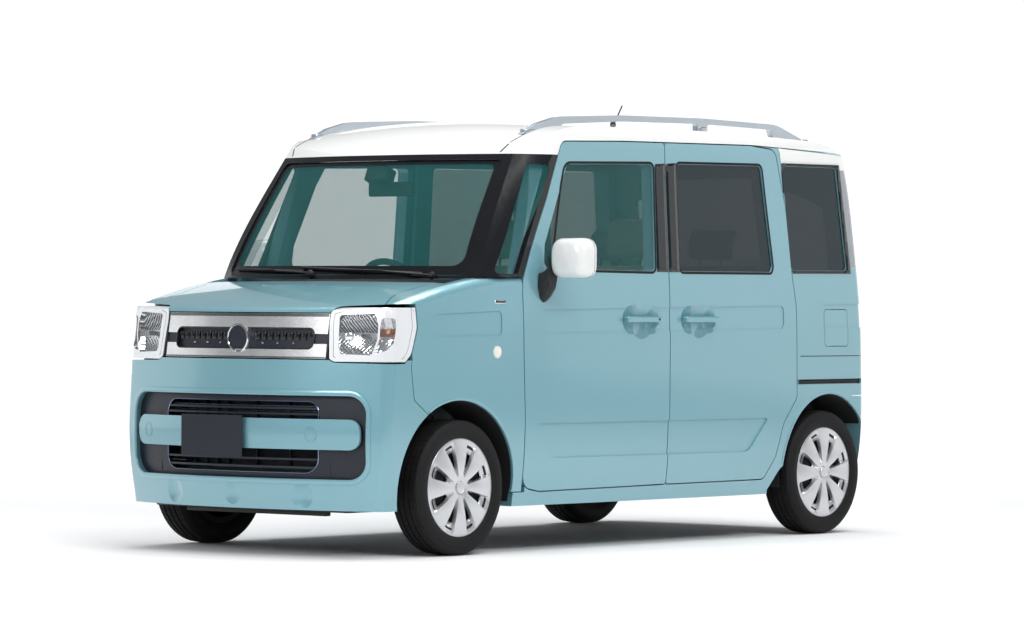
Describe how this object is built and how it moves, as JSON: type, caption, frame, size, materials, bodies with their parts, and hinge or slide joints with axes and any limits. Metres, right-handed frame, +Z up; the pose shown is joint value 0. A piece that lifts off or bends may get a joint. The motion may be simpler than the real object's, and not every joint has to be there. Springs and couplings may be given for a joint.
{
  "type": "kei car",
  "caption": "Tall box-shaped kei car with hinged front doors, sliding rear doors, a lifting hood and tailgate, steered front wheels and raised roof rails.",
  "frame": {"origin": "on the ground, below the middle of the length and width of the car", "axes": "+X forward, +Y to the left side of the car, +Z up"},
  "size_m": [3.3948, 1.91, 1.8416],
  "materials": {
    "body_paint": "light aqua gloss paint",
    "roof_paint": "white gloss paint",
    "black_trim": "black moulded plastic",
    "clear_glass": "clear tinted glass",
    "dark_glass": "dark privacy glass",
    "bright_trim": "bright silver trim",
    "lamp_lens": "clear lens",
    "rail_metal": "silver paint",
    "tyre_rubber": "black rubber",
    "wheel_steel": "black painted steel",
    "cover_paint": "silver painted plastic",
    "chassis_iron": "dark iron",
    "engine_cast": "cast alloy",
    "tank_plastic": "black plastic",
    "exhaust_steel": "dull steel",
    "cabin_plastic": "dark grained plastic",
    "seat_fabric": "woven fabric",
    "shell_paint": "dull primer paint"
  },
  "bodies": {
    "car_body": {"antenna": "black_trim", "body_side_left": "body_paint", "body_side_right": "body_paint", "bumper_bar": "body_paint", "bumper_front": "body_paint", "bumper_rear": "body_paint", "cowl": "black_trim", "dashboard": "cabin_plastic", "engine_block": "engine_cast", "exhaust": "exhaust_steel", "fenders": "body_paint", "floor_pan": "shell_paint", "front_glass": "clear_glass", "front_seats": "seat_fabric", "front_subframe": "chassis_iron", "fuel_tank": "tank_plastic", "grille_lower": "black_trim", "grille_upper": "bright_trim", "headlamps": "lamp_lens", "plate_front": "black_trim", "rear_axle": "chassis_iron", "rear_seat": "seat_fabric", "rear_side_glass": "dark_glass", "roof": "roof_paint", "roof_rails": "rail_metal", "slide_handles": "body_paint", "sliding_doors": "body_paint", "tail_lamps": "lamp_lens", "windscreen_frame": "black_trim"},
    "hood_lid": {"hood": "body_paint"},
    "front_door_left": {"door_left": "body_paint", "door_glass_left": "clear_glass", "mirror_left": "roof_paint", "door_handle_left": "body_paint"},
    "front_door_right": {"door_right": "body_paint", "door_glass_right": "clear_glass", "mirror_right": "roof_paint", "door_handle_right": "body_paint"},
    "tail_door": {"tailgate": "body_paint", "tailgate_glass": "dark_glass"},
    "fuel_flap": {"fuel_lid": "body_paint"},
    "steer_left": {"knuckle_left": "chassis_iron"},
    "steer_right": {"knuckle_right": "chassis_iron"},
    "steering": {"steering_wheel": "cabin_plastic"},
    "road_wheel_front_left": {"tyre_front_left": "tyre_rubber", "wheel_front_left": "wheel_steel", "wheel_cover_front_left": "cover_paint"},
    "road_wheel_front_right": {"tyre_front_right": "tyre_rubber", "wheel_front_right": "wheel_steel", "wheel_cover_front_right": "cover_paint"},
    "road_wheel_rear_left": {"tyre_rear_left": "tyre_rubber", "wheel_rear_left": "wheel_steel", "wheel_cover_rear_left": "cover_paint"},
    "road_wheel_rear_right": {"tyre_rear_right": "tyre_rubber", "wheel_rear_right": "wheel_steel", "wheel_cover_rear_right": "cover_paint"}
  },
  "joints": [
    {"name": "hood_hinge", "type": "hinge", "parent": "car_body", "child": "hood_lid", "pos_m": [1.125, 0, 1.05], "axis": [0, -1, 0], "range_deg": [0, 45]},
    {"name": "door_left_hinge", "type": "hinge", "parent": "car_body", "child": "front_door_left", "pos_m": [0.67, 0.728, 0.9], "axis": [0, 0, -1], "range_deg": [0, 65]},
    {"name": "door_right_hinge", "type": "hinge", "parent": "car_body", "child": "front_door_right", "pos_m": [0.67, -0.728, 0.9], "axis": [0, 0, 1], "range_deg": [0, 65]},
    {"name": "tailgate_hinge", "type": "hinge", "parent": "car_body", "child": "tail_door", "pos_m": [-1.545, 0, 1.705], "axis": [0, 1, 0], "range_deg": [0, 85]},
    {"name": "fuel_lid_hinge", "type": "hinge", "parent": "car_body", "child": "fuel_flap", "pos_m": [-1.35, 0.734, 0.9], "axis": [0, 0, -1], "range_deg": [0, 80]},
    {"name": "steer_left_pivot", "type": "hinge", "parent": "car_body", "child": "steer_left", "pos_m": [1.108, 0.6, 0.18], "axis": [0, -0.1644, 0.9864], "range_deg": [-35, 35]},
    {"name": "steer_right_pivot", "type": "hinge", "parent": "car_body", "child": "steer_right", "pos_m": [1.108, -0.6, 0.18], "axis": [0, 0.1644, 0.9864], "range_deg": [-35, 35]},
    {"name": "steering_wheel_turn", "type": "hinge", "parent": "car_body", "child": "steering", "pos_m": [0.3, -0.335, 1.02], "axis": [-0.8829, 0, 0.4695], "range_deg": [-525, 525]},
    {"name": "wheel_front_left_roll", "type": "hinge", "parent": "steer_left", "child": "road_wheel_front_left", "pos_m": [1.108, 0.6475, 0.27], "axis": [0, 1, 0], "continuous": true},
    {"name": "wheel_front_right_roll", "type": "hinge", "parent": "steer_right", "child": "road_wheel_front_right", "pos_m": [1.108, -0.6475, 0.27], "axis": [0, 1, 0], "continuous": true},
    {"name": "wheel_rear_left_roll", "type": "hinge", "parent": "car_body", "child": "road_wheel_rear_left", "pos_m": [-1.352, 0.6475, 0.27], "axis": [0, 1, 0], "continuous": true},
    {"name": "wheel_rear_right_roll", "type": "hinge", "parent": "car_body", "child": "road_wheel_rear_right", "pos_m": [-1.352, -0.6475, 0.27], "axis": [0, 1, 0], "continuous": true}
  ],
  "couplings": [
    {"joint": "steer_right_pivot", "follows": "steer_left_pivot", "ratio": 1},
    {"joint": "steering_wheel_turn", "follows": "steer_left_pivot", "ratio": 15}
  ]
}
